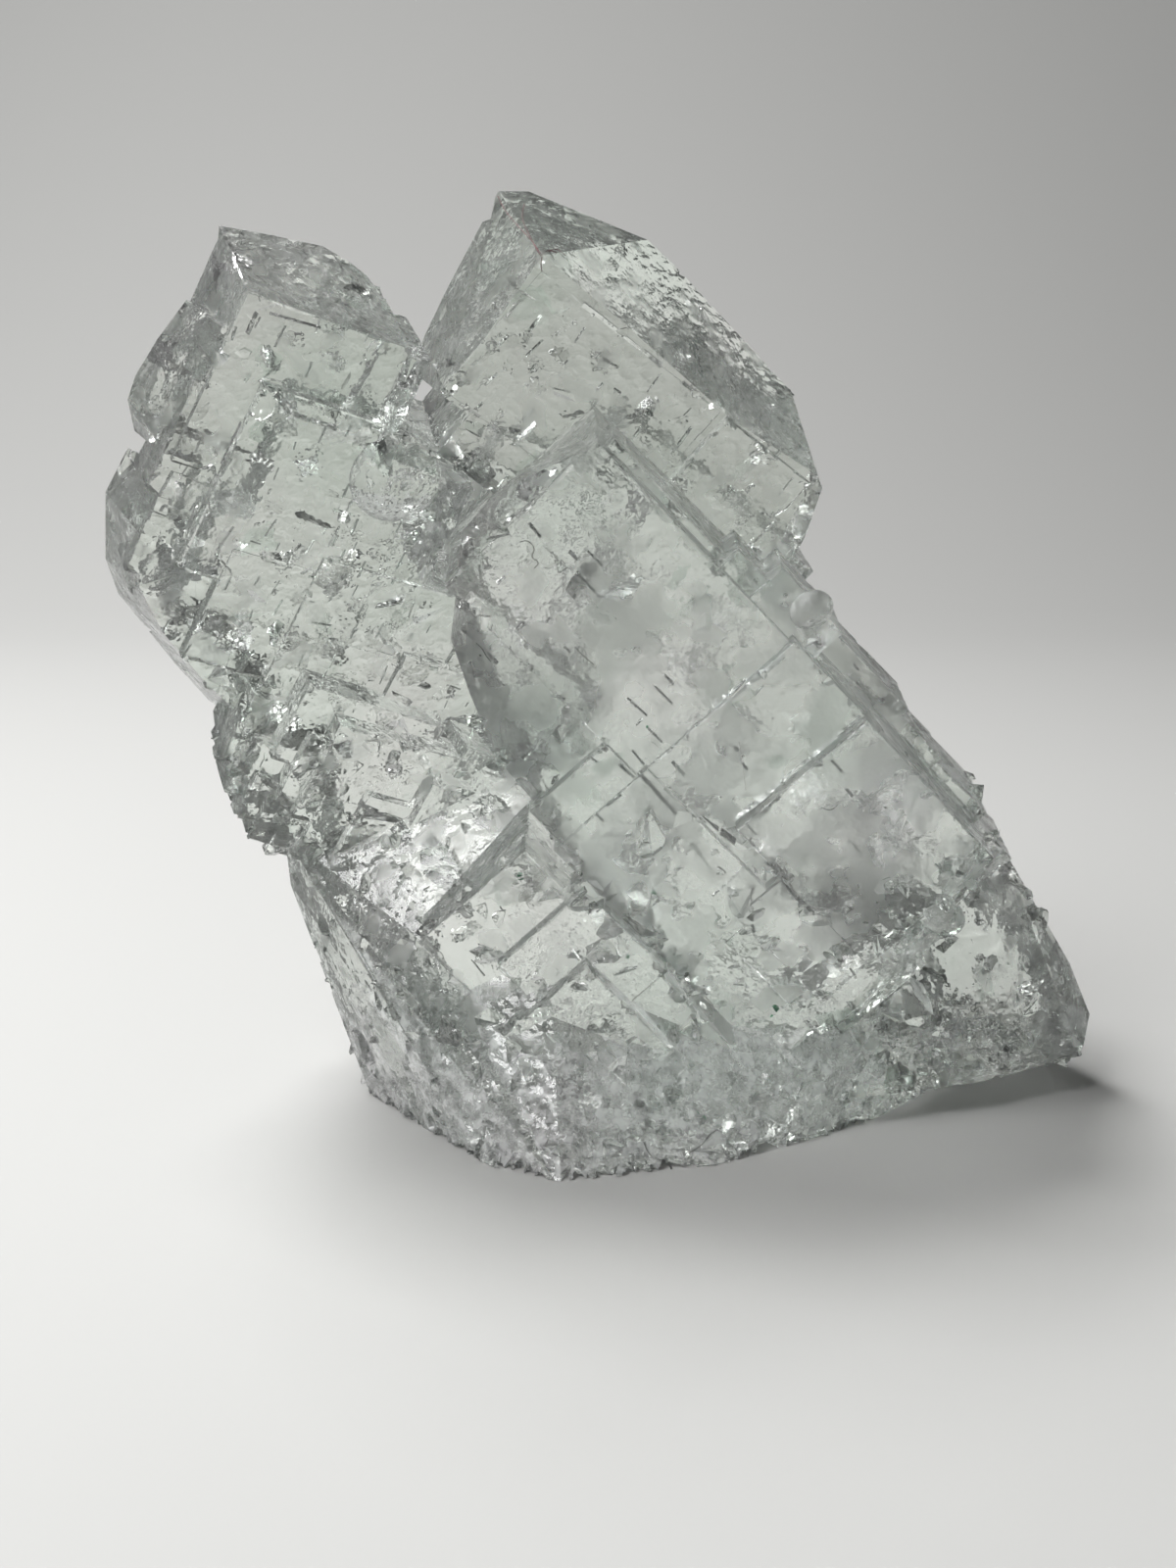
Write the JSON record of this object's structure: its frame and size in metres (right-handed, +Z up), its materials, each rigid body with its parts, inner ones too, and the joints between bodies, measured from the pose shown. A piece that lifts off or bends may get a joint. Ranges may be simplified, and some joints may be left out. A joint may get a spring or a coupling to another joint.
{
  "type": "halite crystal cluster",
  "caption": "Clear, faintly green cluster of stepped cubic crystals grown together, broken off below so that it stands on its foot.",
  "frame": {"origin": "middle of the cluster's outline seen from above, at the height of the flat break that it stands on", "axes": "+Z up, +Y towards the back, +X to the right as seen from the front, and -Z out of the flat break"},
  "size_m": [0.0774, 0.0498, 0.0708],
  "materials": {
    "crystal": "clear natural crystal with stepped growth faces and rough breaks"
  },
  "bodies": {
    "root": {"crystal_cluster": "crystal"}
  },
  "joints": []
}
